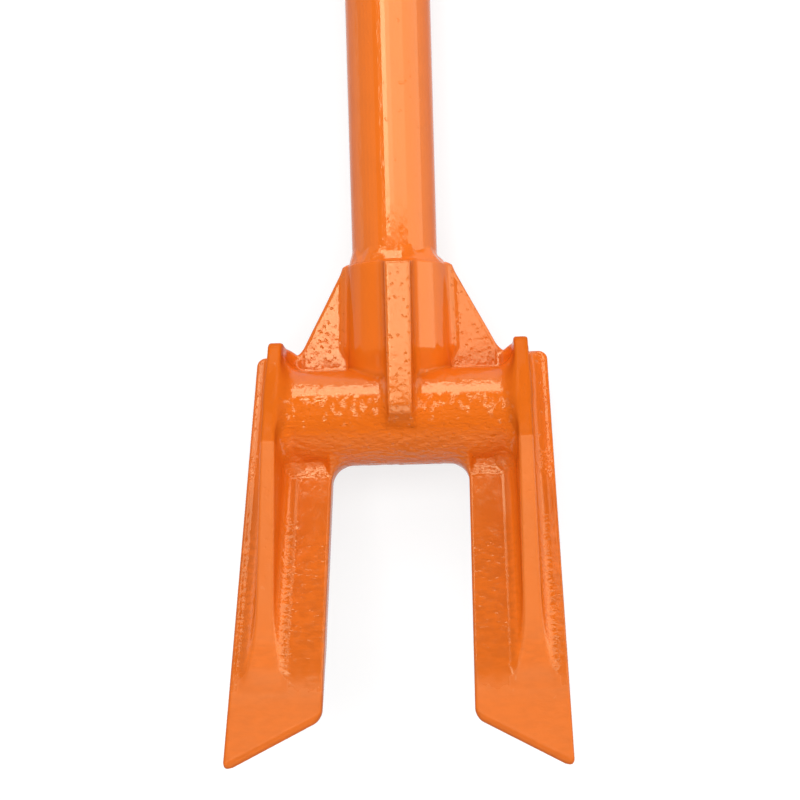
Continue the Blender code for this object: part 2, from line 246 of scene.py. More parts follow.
def neck_form(across, up, forward):
    flat = NECK_FOOT_FLAT * falls(up, NECK_FOOT_BAND)
    off_axis = np.hypot(across, forward * np.where(forward > 0, 1 + flat, 1))
    taper = (NECK_RIM_RADIUS - NECK_ROOT_RADIUS) / (NECK_TOP - NECK_FOOT)
    side = off_axis - NECK_ROOT_RADIUS - taper * np.maximum(up - NECK_FOOT, 0)
    form = cut_by(side, -up, NECK_FOOT)
    return cut_by(form, up - NECK_TOP, NECK_RIM_ROUND)


def crossbar_form(across, up, forward):
    side = np.hypot(up, forward - CROSSBAR_FORWARD) - CROSSBAR_RADIUS
    return cut_by(side, np.abs(across) - RIB_MIDDLE, CROSSBAR_END_ROUND)


def web_form(across, up, forward):
    half = np.abs(across)
    edge = beyond(half, up, (WEB_FOOT_HALF, WEB_FOOT_HEIGHT), (WEB_TOP_HALF, NECK_TOP))
    outline = np.minimum(-edge, up - WEB_TAIL_HEIGHT)
    outline = np.maximum(outline, np.maximum(up - NECK_TOP + NECK_RIM_ROUND, -up))
    outline = np.maximum(outline, half - RIB_MIDDLE)
    thickness = WEB_HALF_THICKNESS - WEB_DRAFT * (half - WEB_MIDDLE)
    return cut_by(outline, np.abs(forward) - thickness, EDGE_ROUND)


def add_centre_rib(body, across, up, forward):
    half = CENTRE_RIB_HALF - CENTRE_RIB_DRAFT * np.maximum(forward - NECK_RIM_RADIUS, 0)
    wall = np.abs(across - CENTRE_RIB_OFFSET) - half
    wall = np.maximum(wall, CENTRE_RIB_ROOT - forward)
    wall = np.maximum(wall, CENTRE_RIB_HEEL - up)
    wall = np.maximum(wall, up - NECK_TOP + NECK_RIM_ROUND)
    profile = ((CENTRE_RIB_TOP_FRONT, NECK_TOP), (CENTRE_RIB_CREASE_FRONT, CENTRE_RIB_CREASE),
               (CENTRE_RIB_FOOT_FRONT, CENTRE_RIB_FOOT),
               (CENTRE_RIB_HEEL_FRONT, CENTRE_RIB_HEEL))
    front = beyond(forward, up, profile[0], profile[1])
    for start, end in zip(profile[1:], profile[2:]):
        front = np.maximum(front, beyond(forward, up, start, end))
    rib = blend_in(body, wall, HOLLOW_CENTRE_RIB)
    rib = cut_by(rib, front, EDGE_ROUND)
    return np.minimum(body, rib)


def tine_place(up, forward):
    """How far up the tine and off its plane points lie."""
    lean_cos = math.cos(TINE_LEAN)
    lean_sin = math.sin(TINE_LEAN)
    ahead = forward - CROSSBAR_FORWARD
    return up * lean_cos - ahead * lean_sin, up * lean_sin + ahead * lean_cos


def tine_form(across, up, forward):
    """Both tines, each a leaning blade and its rib."""
    half = np.abs(across)
    along, off = tine_place(up, forward)
    tip = -beyond(half, along, (BLADE_INNER, -BLADE_LENGTH_INNER),
                  (BLADE_OUTER, -BLADE_LENGTH_OUTER))
    outline = cut_by(half - BLADE_OUTER, along - BLADE_TOP, WING_ROUND)
    outline = cut_by(outline, tip, TIP_ROUND)
    inner = np.minimum(np.maximum(BLADE_INNER - half, along), WING_INNER - half)
    outline = cut_by(outline, inner, TIP_ROUND)
    raised = FACET_RISE * np.clip(along - FACET_START, 0, FACET_LENGTH)
    raised *= (half < RIB_MIDDLE) & (along < 0)
    slab = np.maximum(off - BLADE_FRONT - raised, BLADE_BACK - off)
    rise = (BLADE_FRONT - BLADE_BACK - TIP_THICKNESS) / TIP_BEVEL_LENGTH
    bevel = (BLADE_FRONT - TIP_THICKNESS + rise * tip - off) / math.hypot(1, rise)
    slope = TIP_CHAMFER_DEPTH / TIP_CHAMFER_LENGTH
    chamfer = (off - BLADE_FRONT + TIP_CHAMFER_DEPTH + slope * tip) / math.hypot(1, slope)
    slab = np.maximum(slab, np.maximum(bevel, chamfer))
    blade = cut_by(outline, slab, EDGE_ROUND)
    wall = np.abs(half - RIB_MIDDLE) - RIB_CREST_HALF - RIB_DRAFT * (RIB_CREST - off)
    wall = np.maximum(wall, (BLADE_FRONT + BLADE_BACK) / 2 - off)
    wall = np.maximum(wall, RIB_TOE_END - along)
    fall = -beyond(along, off, (RIB_CREASE, RIB_CREST), (RIB_END, BLADE_FRONT))
    crest = np.maximum(off - RIB_CREST, ease_in(fall, off - BLADE_FRONT, RIB_TOE_EASE))
    top = -beyond(along, off, (RIB_ROOT_TOP, BLADE_FRONT), (RIB_TOP, RIB_CREST))
    crest = cut_by(crest, top, EAR_ROUND)
    rib = cut_by(blend_in(blade, wall, HOLLOW_RIB), crest, EDGE_ROUND)
    return np.minimum(blade, rib)


def head_form(points):
    """The casting's surface is where this is zero; it is negative inside."""
    across, up, forward = points[..., 0], points[..., 1], points[..., 2]
    body = blend_in(neck_form(across, up, forward), crossbar_form(across, up, forward),
                    HOLLOW_NECK)
    web_hollow = HOLLOW_WEB_FOOT + (HOLLOW_WEB - HOLLOW_WEB_FOOT) * rises(up, WEB_FOOT_BAND)
    body = blend_in(body, web_form(across, up, forward), web_hollow)
    body = add_centre_rib(body, across, up, forward)
    half = np.abs(across)
    below = ((HOLLOW_ARCH - HOLLOW_FACET) * falls(half, ARCH_BAND)
             + (HOLLOW_FACET - HOLLOW_TINE) * falls(half, FACET_BAND))
    tine_hollow = (HOLLOW_TINE + (HOLLOW_EAR - HOLLOW_TINE) * rises(up, EAR_BAND)
                   + below * rises(-up, EAR_BAND))
    body = blend_in(body, tine_form(across, up, forward), tine_hollow)
    pilot = np.maximum(np.hypot(across, forward) - PILOT_RADIUS, up - PILOT_TOP)
    return np.minimum(body, np.maximum(pilot, NECK_FOOT - up))


def form_slope(points, reach=0.00005):
    """The outward direction of the casting's surface at each point."""
    slope = np.empty_like(points)
    for axis in range(3):
        step = np.zeros(3)
        step[axis] = reach
        slope[:, axis] = head_form(points + step) - head_form(points - step)
    return slope / np.maximum(np.linalg.norm(slope, axis=1, keepdims=True), 1e-12)


def sample_grid(low, high, step):
    """The form on a grid of points, worked out a few layers at a time."""
    axes = [np.arange(a, b + step, step, dtype=np.float32) for a, b in zip(low, high)]
    values = np.empty([len(axis) for axis in axes], dtype=np.float32)
    layers = 16
    for first in range(0, len(axes[0]), layers):
        block = np.stack(np.meshgrid(axes[0][first:first + layers], axes[1], axes[2],
                                     indexing="ij"), axis=-1)
        values[first:first + layers] = head_form(block)
    return values


def net_surface(values, low, step):
    """Corners and four-sided faces of the zero surface in a grid of values."""
    inside = values < 0
    counts = np.zeros([n - 1 for n in values.shape], dtype=np.uint8)
    corners = [(i, j, k) for i in (0, 1) for j in (0, 1) for k in (0, 1)]
    sizes = counts.shape
    for i, j, k in corners:
        counts += inside[i:i + sizes[0], j:j + sizes[1], k:k + sizes[2]]
    active = (counts > 0) & (counts < 8)
    cells = np.argwhere(active)
    number = np.full(sizes, -1, dtype=np.int64)
    number[active] = np.arange(len(cells))
    total = np.zeros((len(cells), 3))
    hits = np.zeros(len(cells))
    for first in corners:
        for axis in range(3):
            if first[axis]:
                continue
            second = tuple(c + (n == axis) for n, c in enumerate(first))
            start = values[tuple((cells + first).T)].astype(float)
            end = values[tuple((cells + second).T)].astype(float)
            crossing = (start < 0) != (end < 0)
            share = start[crossing] / (start[crossing] - end[crossing])
            place = np.tile(np.array(first, dtype=float), (crossing.sum(), 1))
            place[:, axis] += share
            total[crossing] += place
            hits[crossing] += 1
    points = np.array(low) + step * (cells + total / hits[:, None])
    faces = []
    for axis in range(3):
        here = [slice(None)] * 3
        there = [slice(None)] * 3
        here[axis] = slice(None, -1)
        there[axis] = slice(1, None)
        change = inside[tuple(here)] != inside[tuple(there)]
        edges = np.argwhere(change)
        other = [(axis + 1) % 3, (axis + 2) % 3]
        rows = []
        for back in ((0, 0), (1, 0), (1, 1), (0, 1)):
            cell = edges.copy()
            cell[:, other[0]] -= back[0]
            cell[:, other[1]] -= back[1]
            rows.append(number[tuple(cell.T)])
        quads = np.stack(rows, axis=1)
        leaving = inside[tuple(edges.T)]
        quads[~leaving] = quads[~leaving][:, ::-1]
        faces.append(quads)
    return points, np.concatenate(faces)


def lattice_noise(points, cell, seed, size=32):
    """Smooth noise from -1 to 1, with lumps about as wide as cell in each direction."""
    table = np.random.default_rng(seed).uniform(-1, 1, (size, size, size))
    place = points / np.asarray(cell)
    base = np.floor(place).astype(int)
    share = place - base
    share = share * share * (3 - 2 * share)
    result = np.zeros(len(points))
    for i in (0, 1):
        for j in (0, 1):
            for k in (0, 1):
                weight = (np.where(i, share[:, 0], 1 - share[:, 0])
                          * np.where(j, share[:, 1], 1 - share[:, 1])
                          * np.where(k, share[:, 2], 1 - share[:, 2]))
                result += weight * table[(base[:, 0] + i) % size, (base[:, 1] + j) % size,
                                         (base[:, 2] + k) % size]
    return result


def cast_roughness(points, layer):
    height, cell, seed = layer
    return height * lattice_noise(points, cell, seed)


def to_world(points):
    return np.stack([points[:, 0], HEAD_Y + points[:, 1], HEAD_Z + points[:, 2]], axis=1)


def mesh_from(name, points, faces):
    mesh = bpy.data.meshes.new(name)
    mesh.vertices.add(len(points))
    mesh.vertices.foreach_set("co", points.astype(np.float32).ravel())
    sides = faces.shape[1]
    mesh.loops.add(faces.size)
    mesh.loops.foreach_set("vertex_index", faces.astype(np.int32).ravel())
    mesh.polygons.add(len(faces))
    mesh.polygons.foreach_set("loop_start", np.arange(0, faces.size, sides, dtype=np.int32))
    mesh.update(calc_edges=True)
    mesh.validate()
    mesh.shade_smooth()
    return mesh


def toe_mark(half, along):
    """The flared ends of the ribs' walls, where they run out on the blades."""
    wall = (RIB_CREST - BLADE_FRONT) * (along - RIB_END) / (RIB_CREASE - RIB_END)
    wall = np.clip(wall, 0, HOLLOW_RIB)
    flare = HOLLOW_RIB - np.sqrt(HOLLOW_RIB ** 2 - (HOLLOW_RIB - wall) ** 2)
    reach = RIB_CREST_HALF + RIB_DRAFT * (RIB_CREST - BLADE_FRONT - wall) + flare
    return (rises(reach - np.abs(half - RIB_MIDDLE), TOE_EDGE)
            * rises(-along, TOE_DOWN) * falls(-along, TOE_END_DOWN))


def surface_marks(points):
    """What the casting's surface is like at each point, each mark from 0 to 1.

    Pitted and grained parts are cast rough, rough parts are crusted, spotted parts
    glint in more places, hammered parts are dimpled in rows, satin parts are less
    glossy, and dull parts reflect less. Shade is painted light and shade: how deep
    the coat's colour is made on each part, darker or paler to stand in for how light falls.
    """
    across, up, forward = points[:, 0], points[:, 1], points[:, 2]
    half = np.abs(across)
    along, off = tine_place(up, forward)
    down = -along
    neck_skin = falls(np.abs(neck_form(across, up, forward)), NECK_SKIN)
    # The neck: painted paler as painted light, and its left side paler still.
    neck = neck_skin * rises(up, NECK_UP)
    neck_left = neck * rises(-across, NECK_LEFT)
    bar = falls(np.abs(crossbar_form(across, up, forward)), BAR_SKIN)
    bar_top = bar * rises(up, BAR_TOP_UP) * falls(up, BAR_TOP_END_UP)
    crust = bar * falls(up, CRUST_END_UP)
    band = bar * rises(up, BAND_UP) * falls(up, BAND_END_UP)
    fringe = bar * falls(up, FRINGE_END_UP)
    # The crossbar's underside: painted paler here as painted light, and dulled less.
    under = bar * rises(-up, UNDER_DOWN)
    # The crease where the neck meets the crossbar, painted darker as painted shade and
    # dulled.
    neck_crease = bar * neck_skin
    front = rises(forward, FRONT_FORWARD)
    rib = rises(half, RIB_HALF) * rises(off, RIB_OFF)
    rib_top = rises(half, RIB_HALF) * rises(off, RIB_TOP_OFF) * rises(along, RIB_TOP_ALONG)
    fall = beyond(along, off, (RIB_CREASE, RIB_CREST), (RIB_END, BLADE_FRONT))
    crest = rib * (1 - rib_top) * falls(fall, CREST_END)
    blade = rises(down, BLADE_DOWN) * falls(off, BLADE_END_OFF)
    blade_top = rises(down, BLADE_TOP_DOWN) * falls(down, BLADE_TOP_END_DOWN)
    blade_top *= rises(off, BLADE_TOP_OFF) * falls(off, BLADE_TOP_END_OFF)
    tip = rises(down, TIP_DOWN)
    toe = toe_mark(half, along)
    hollow = rises(half, HOLLOW_HALF) * falls(half, HOLLOW_END_HALF)
    hollow *= rises(down, HOLLOW_DOWN) * falls(off, HOLLOW_END_OFF)
    hollow *= rises(off - BLADE_FRONT, HOLLOW_RISE) * (1 - crest) * (1 - toe)
    right_hollow = hollow * (across > 0) * (half < RIB_MIDDLE)
    wing = rises(half, WING_HALF)
    beside = np.abs(across - CENTRE_RIB_OFFSET)
    flank = rises(beside, FLANK_BESIDE) * falls(beside, FLANK_END_BESIDE)
    flank *= rises(up, FLANK_UP)
    # Painted shade on the blades: their colour is made darker below the crossbar, and only
    # half as dark at the tips, which are painted paler.
    blade_shade = rises(down, BLADE_SHADE_DOWN) * (1 - rib) * (1 - 0.5 * tip)
    hammered = rises(down, HAMMERED_DOWN) * (1 - 0.7 * rises(down, HAMMERED_END_DOWN))
    hammered *= falls(off, HAMMERED_END_OFF) * rises(forward, HAMMERED_FORWARD)
    return {
        "pitted": 1 - np.maximum.reduce([neck, 0.7 * rib, 0.8 * bar_top, 0.95 * blade]),
        "grained": 1 - np.maximum.reduce([0.8 * neck, 0.6 * rib, 0.85 * blade,
                                          0.6 * (1 - bar)]),
        "rough": np.maximum.reduce([crust * front, 0.35 * band, 0.8 * blade_top,
                                    0.55 * (hollow - right_hollow)]),
        "spotted": fringe * rises(up, SPOTTED_UP),
        "hammered": hammered,
        "satin": np.maximum.reduce([crest, 0.75 * tip, 0.75 * toe]),
        "dull": np.maximum.reduce([0.85 * fringe * (1 - 0.7 * under), 0.85 * rib_top,
                                   0.38 * crest, 0.5 * tip, 0.5 * toe, 0.35 * wing,
                                   0.7 * neck_crease, 0.6 * neck_left, 0.7 * flank,
                                   0.6 * right_hollow]),
        # Painted light and shade. The blades, the upper rib crests and the crests are painted
        # darker. The crease where the neck meets the crossbar is painted darker. The
        # crossbar's underside, the neck, the neck's left side and the ribs' walls are painted
        # paler.
        "shade": (0.45 + 0.45 * blade_shade - 0.20 * under - 0.40 * neck
                  + 0.30 * rib_top + 0.10 * crest + 0.50 * neck_crease - 0.15 * neck_left
                  - 0.40 * rib * (1 - rib_top) * (1 - crest)),
    }


def make_head():
    """The casting: its form netted, given its roughness and kept in the CAD's box."""
    low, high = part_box("fork_head")
    margin = MESH_MARGIN * MESH_STEP
    start = (low.x - margin, low.y - HEAD_Y - margin, low.z - HEAD_Z - margin)
    end = (high.x + margin, high.y - HEAD_Y + margin, high.z - HEAD_Z + margin)
    points, faces = net_surface(sample_grid(start, end, MESH_STEP), start, MESH_STEP)
    for _ in range(MESH_SETTLES):
        points -= head_form(points)[:, None] * form_slope(points)
    marks = surface_marks(points)
    lump_share = SMOOTH_LUMP_SHARE + (1 - SMOOTH_LUMP_SHARE) * marks["pitted"]
    height = cast_roughness(points, CAST_LUMPS) * lump_share
    height += (cast_roughness(points, CAST_DIMPLES)
               + cast_roughness(points, CAST_FINE_DIMPLES)) * marks["grained"]
    height += cast_roughness(points, CAST_CRUST) * marks["rough"]
    height += cast_roughness(points, CAST_STREAKS) * marks["hammered"]
    points = points + form_slope(points) * MILLIMETRE * height[:, None]
    world = np.clip(to_world(points), np.array(low), np.array(high))
    mesh = mesh_from("cast_head", world, faces)
    for name, values in marks.items():
        layer = mesh.attributes.new(name, "FLOAT", "POINT")
        layer.data.foreach_set("value", values.astype(np.float32))
    head = bpy.data.objects.new("cast_head", mesh)
    bpy.context.collection.objects.link(head)
    return head


# Weld bead
WELD_SIDES = 220
WELD_ROWS = 14
WELD_HEIGHT = 0.0088
WELD_HEIGHT_CHANGE = 0.16
WELD_HOLLOW = 2.0
WELD_SINK = 0.0004
WELD_FOOT_INSET = 0.0005
WELD_TOP_INSET = 0.00025
WELD_INNER_INSET = 0.0004
WELD_SWELL = 0.0006
WELD_LUMPINESS = 2.6
WELD_RIPPLE = 0.0002
WELD_NOISE_RADIUS = 0.024
WELD_NOISE_RISE = 0.008
WELD_LUMPS = ((0.0075, 0.0075, 0.0055), 31)
WELD_RIPPLES = ((0.0026, 0.0026, 0.0030), 32)
WELD_REACH = ((0.0070, 0.0070, 0.0070), 33)
TUBE_RADIUS = 0.0211


def make_weld():
    """The bead between the neck's rim and the tube, lumpy as it was laid by hand."""
    turn = np.linspace(0, 2 * math.pi, WELD_SIDES, endpoint=False)
    share = np.linspace(0, 1, WELD_ROWS)
    turn, share = np.meshgrid(turn, share, indexing="ij")
    ring = np.stack([np.cos(turn) * WELD_NOISE_RADIUS, np.sin(turn) * WELD_NOISE_RADIUS,
                     share * WELD_NOISE_RISE], axis=-1)
    flat = ring.reshape(-1, 3)
    lumps = lattice_noise(flat, *WELD_LUMPS).reshape(turn.shape)
    ripples = lattice_noise(flat, *WELD_RIPPLES).reshape(turn.shape)
    reach = lattice_noise(flat * (1, 1, 0), *WELD_REACH).reshape(turn.shape)
    height = WELD_HEIGHT * (1 + WELD_HEIGHT_CHANGE * reach)
    bottom = NECK_TOP - WELD_SINK
    up = bottom + share * height
    foot = NECK_RIM_RADIUS - WELD_FOOT_INSET
    top = TUBE_RADIUS - WELD_TOP_INSET
    off_axis = top + (foot - top) * (1 - share) ** WELD_HOLLOW
    off_axis = off_axis + np.sin(math.pi * share) * (
        WELD_SWELL * (1 - WELD_LUMPINESS * np.abs(lumps)) + WELD_RIPPLE * ripples)
    outer = np.stack([TUBE_X * share + off_axis * np.sin(turn), up,
                      off_axis * np.cos(turn)], axis=-1)
    inner_radius = TUBE_RADIUS - WELD_INNER_INSET
    inner_top = np.stack([TUBE_X + inner_radius * np.sin(turn[:, 0]), up[:, -1],
                          inner_radius * np.cos(turn[:, 0])], axis=-1)
    inner_foot = inner_top.copy()
    inner_foot[:, 1] = bottom
    rows = np.concatenate([outer, inner_top[:, None], inner_foot[:, None]], axis=1)
    count = rows.shape[1]
    faces = []
    for side in range(WELD_SIDES):
        after = (side + 1) % WELD_SIDES
        for row in range(count):
            above = (row + 1) % count
            faces.append((side * count + row, after * count + row,
                          after * count + above, side * count + above))
    mesh = mesh_from("weld_bead", to_world(rows.reshape(-1, 3)), np.array(faces))
    weld = bpy.data.objects.new("weld_bead", mesh)
    bpy.context.collection.objects.link(weld)
    return weld


# Colours and coats
# The coat's colour runs from the paler orange to the darker one below it. Where along this
# each part lies is painted light and shade, with a little random tone on top.
ORANGE = (0.780, 0.152, 0.0095)
ORANGE_DEEP_AND_SHADED = (0.550, 0.104, 0.0070)
BLACK = (0.012, 0.012, 0.013)
BLACK_PALE = (0.020, 0.020, 0.021)
COAT_SHEEN = 0.75
COAT_RIM_SHEEN = 0.15
COAT_RIM = (0.28, 0.62)
COAT_TINT = (1.0, 0.95, 0.57, 1.0)
# The tube and weld are painted paler than the casting, as painted light.
TUBE_SHADE = 0.05
TUBE_ROUGHNESS = (0.07, 0.11)
WELD_SHADE = 0.10
WELD_ROUGHNESS = (0.09, 0.15)
CAST_ROUGHNESS = (0.08, 0.14)
SATIN_ROUGHNESS = 0.34
GLINT_GAIN = 0.25
FACE_BLEND = 0.5
SPOT_WANDER = 0.5
SPOT_WANDER_SCALE = 2.1

# Noise in the coats: its scale, detail and stretch, the part of its range that
# counts, and what that part becomes. Heights are in millimetres.
MOTTLE = {"noise": (55, 3), "part": (0.38, 0.68), "into": (-0.06, 0.06)}
GLOSS = {"noise": (240, 2), "part": (0.35, 0.70)}
HAMMER_MARKS = (480, 2.0, (0.4, 1.0, 0.6))
HAMMER_PART = (0.3, 0.75)
# Painted shade in the hammer dents: darker where the marks sink in.
HAMMER_DENT_SHADE = (-0.26, 0.26)
HAMMER_HEIGHT = (0.03, -0.03)
GLINTS = (330, 1.0, (1.0, 0.7, 0.7))
GLINT_PART = (0.72, 0.79)
PITS = {"scale": 330, "part": (0.0, 0.33), "into": (-0.25, 0.0)}
SMALL_PITS = {"scale": 800, "part": (0.0, 0.26), "into": (-0.05, 0.0)}
GRAIN = {"noise": (290, 2.0), "part": (0.2, 0.8), "into": (-0.040, 0.040)}
CRUST = {"noise": (520, 2.0, (0.45, 1.0, 1.0)), "part": (0.25, 0.75),
         "into": (-0.12, 0.12)}
CAST_PEEL = {"noise": (260, 1.0), "part": (0.2, 0.8), "into": (-0.012, 0.012)}
TUBE_PEEL = {"noise": (240, 3.0, (1.0, 0.6, 1.0)), "part": (0.2, 0.8),
             "into": (-0.020, 0.020)}
TUBE_SPECKS = {"noise": (300, 0.5), "part": (0.74, 0.80), "into": (0.0, 0.08)}
WELD_GRAIN = {"noise": (330, 2.0), "part": (0.25, 0.75), "into": (-0.05, 0.05)}
PLUG_TONE = (300, 2)
PLUG_GLOSS = {"noise": (700, 2), "part": (0.3, 0.7), "into": (0.42, 0.55)}
PLUG_GRAIN = {"noise": (1500, 2), "part": (0.2, 0.8), "into": (-0.012, 0.012)}


class Nodes:
    """Short calls for building one material's nodes."""

    def __init__(self, name):
        self.material = bpy.data.materials.new(name)
        self.material.use_nodes = True
        self.tree = self.material.node_tree
        self.shader = self.tree.nodes["Principled BSDF"]
        self.place = self.add("ShaderNodeTexCoord").outputs["Object"]

    def add(self, kind, **settings):
        node = self.tree.nodes.new(kind)
        for key, value in settings.items():
            setattr(node, key, value)
        return node

    def link(self, source, target):
        self.tree.links.new(source, target)

    def noise(self, scale, detail=2.0, stretch=None):
        node = self.add("ShaderNodeTexNoise")
        node.inputs["Scale"].default_value = scale
        node.inputs["Detail"].default_value = detail
        place = self.place
        if stretch:
            mapping = self.add("ShaderNodeMapping")
            mapping.inputs["Scale"].default_value = stretch
            self.link(place, mapping.inputs["Vector"])
            place = mapping.outputs["Vector"]
        self.link(place, node.inputs["Vector"])
        return node.outputs["Fac"]

    def spots(self, scale):
        """How far each point lies from the nearest of a scatter of points."""
        node = self.add("ShaderNodeTexVoronoi")
        node.inputs["Scale"].default_value = scale
        wander = self.add("ShaderNodeTexNoise")
        wander.inputs["Scale"].default_value = scale * SPOT_WANDER_SCALE
        self.link(self.place, wander.inputs["Vector"])
        push = self.add("ShaderNodeVectorMath", operation="MULTIPLY_ADD")
        push.inputs[1].default_value = (SPOT_WANDER / scale,) * 3
        self.link(wander.outputs["Color"], push.inputs[0])
        self.link(self.place, push.inputs[2])
        self.link(push.outputs["Vector"], node.inputs["Vector"])
        return node.outputs["Distance"]

    def spread(self, value, low, high, to_low=0.0, to_high=1.0):
        node = self.add("ShaderNodeMapRange", interpolation_type="SMOOTHSTEP")
        node.inputs["From Min"].default_value = low
        node.inputs["From Max"].default_value = high
        node.inputs["To Min"].default_value = to_low
        node.inputs["To Max"].default_value = to_high
        self.link(value, node.inputs["Value"])
        return node.outputs["Result"]

    def layer(self, noise, part, into):
        return self.spread(self.noise(*noise), *part, *into)

    def spot_layer(self, scale, part, into):
        return self.spread(self.spots(scale), *part, *into)

    def math(self, operation, first, second):
        node = self.add("ShaderNodeMath", operation=operation)
        for socket, value in zip(node.inputs, (first, second)):
            if isinstance(value, (int, float)):
                socket.default_value = value
            else:
                self.link(value, socket)
        return node.outputs["Value"]

    def attribute(self, name):
        return self.add("ShaderNodeAttribute", attribute_name=name).outputs["Fac"]

    def turned_away(self):
        """0 where the surface is seen straight on, up to 1 where it is seen edge on."""
        node = self.add("ShaderNodeLayerWeight")
        node.inputs["Blend"].default_value = FACE_BLEND
        return node.outputs["Facing"]

    def tint(self, share, first, second):
        node = self.add("ShaderNodeMix", data_type="RGBA")
        for socket in node.inputs:
            if socket.name == "A" and socket.type == "RGBA":
                socket.default_value = (*first, 1)
            if socket.name == "B" and socket.type == "RGBA":
                socket.default_value = (*second, 1)
        self.link(share, node.inputs["Factor"])
        self.link([s for s in node.outputs if s.type == "RGBA"][0],
                  self.shader.inputs["Base Color"])

    def bump(self, height_mm):
        node = self.add("ShaderNodeBump")
        node.inputs["Strength"].default_value = 1.0
        node.inputs["Distance"].default_value = MILLIMETRE
        self.link(height_mm, node.inputs["Height"])
        self.link(node.outputs["Normal"], self.shader.inputs["Normal"])


def coat(nodes, shade, roughness):
    """A glossy sprayed coat, slightly uneven in tone and gloss.

    It reflects less where the surface turns away, so that the white floor doesn't
    make its edges pale. Returns what drives the specular level and the roughness.
    """
    # The colour is deepened or paled by the shade given, which is painted light and shade,
    # with random mottle on top.
    nodes.tint(nodes.math("ADD", nodes.layer(**MOTTLE), shade), ORANGE, ORANGE_DEEP_AND_SHADED)
    gloss = nodes.layer(into=roughness, **GLOSS)
    nodes.link(gloss, nodes.shader.inputs["Roughness"])
    sheen = nodes.spread(nodes.turned_away(), *COAT_RIM, COAT_SHEEN, COAT_RIM_SHEEN)
    nodes.link(sheen, nodes.shader.inputs["Specular IOR Level"])
    nodes.shader.inputs["Specular Tint"].default_value = COAT_TINT
    return sheen, gloss


def cast_coat():
    nodes = Nodes("coat_on_casting")
    hammered = nodes.attribute("hammered")
    marks = nodes.noise(*HAMMER_MARKS)
    # Painted shade: the hammer marks are painted darker where they dent the surface.
    dent_shade = nodes.spread(marks, *HAMMER_PART, *HAMMER_DENT_SHADE)
    dent_shade = nodes.math("MULTIPLY", dent_shade, hammered)
    shade = nodes.math("ADD", nodes.attribute("shade"), dent_shade)
    sheen, gloss = coat(nodes, shade, CAST_ROUGHNESS)
    glints = nodes.math("MULTIPLY", nodes.attribute("spotted"), GLINT_GAIN)
    glints = nodes.math("ADD", nodes.noise(*GLINTS), glints)
    glints = nodes.spread(glints, *GLINT_PART, 1.0, 0.0)
    dull = nodes.math("MULTIPLY", nodes.attribute("dull"), glints)
    sheen = nodes.math("MULTIPLY", sheen, nodes.spread(dull, 0.0, 1.0, 1.0, 0.0))
    nodes.link(sheen, nodes.shader.inputs["Specular IOR Level"])
    satin = nodes.spread(nodes.attribute("satin"), 0.0, 1.0, 0.0, SATIN_ROUGHNESS)
    nodes.link(nodes.math("ADD", gloss, satin), nodes.shader.inputs["Roughness"])
    pits = nodes.math("ADD", nodes.spot_layer(**PITS), nodes.spot_layer(**SMALL_PITS))
    dents = nodes.math("MULTIPLY", pits, nodes.attribute("pitted"))
    for layer, mark in ((GRAIN, "grained"), (CRUST, "rough")):
        part = nodes.math("MULTIPLY", nodes.layer(**layer), nodes.attribute(mark))
        dents = nodes.math("ADD", dents, part)
    streaks = nodes.spread(marks, *HAMMER_PART, *HAMMER_HEIGHT)
    dents = nodes.math("ADD", dents, nodes.math("MULTIPLY", streaks, hammered))
    nodes.bump(nodes.math("ADD", dents, nodes.layer(**CAST_PEEL)))
    return nodes.material


def tube_coat():
    nodes = Nodes("coat_on_tube")
    coat(nodes, TUBE_SHADE, TUBE_ROUGHNESS)
    nodes.bump(nodes.math("ADD", nodes.layer(**TUBE_PEEL), nodes.layer(**TUBE_SPECKS)))
    return nodes.material


def weld_coat():
    nodes = Nodes("coat_on_weld")
    coat(nodes, WELD_SHADE, WELD_ROUGHNESS)
    nodes.bump(nodes.layer(**WELD_GRAIN))
    return nodes.material


def plug_plastic():
    nodes = Nodes("moulded_plastic")
    nodes.tint(nodes.noise(*PLUG_TONE), BLACK, BLACK_PALE)
    nodes.link(nodes.layer(**PLUG_GLOSS), nodes.shader.inputs["Roughness"])
    nodes.bump(nodes.layer(**PLUG_GRAIN))
    return nodes.material


def set_material(item, material):
    item.data.materials.clear()
    item.data.materials.append(material)


head = make_head()
set_material(head, cast_coat())
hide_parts("fork_head")
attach(head, "root")

weld = make_weld()
set_material(weld, weld_coat())
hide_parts("neck_weld")
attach(weld, "root")

for node, material in (("handle_tube", tube_coat()), ("end_plug", plug_plastic())):
    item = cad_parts[node]
    for place in item.material_slots:
        place.material = material

# Floor, world and lamps
FLOOR_SIZE = 30.0
FLOOR_DROP = 0.0003
FLOOR_TONE = 0.30
FLOOR_LIFT = 0.73
FLOOR_ROUGHNESS = 0.9
ROOM_LEVEL = 0.20


def seen_directly(tree):
    """1 where a ray from the camera, a reflection or a clear piece meets this."""
    path = tree.nodes.new("ShaderNodeLightPath")
    seen = path.outputs["Is Camera Ray"]
    for name in ("Is Glossy Ray", "Is Transmission Ray"):
        either = tree.nodes.new("ShaderNodeMath")
        either.operation = "MAXIMUM"
        tree.links.new(seen, either.inputs[0])
        tree.links.new(path.outputs[name], either.inputs[1])
        seen = either.outputs["Value"]
    return seen


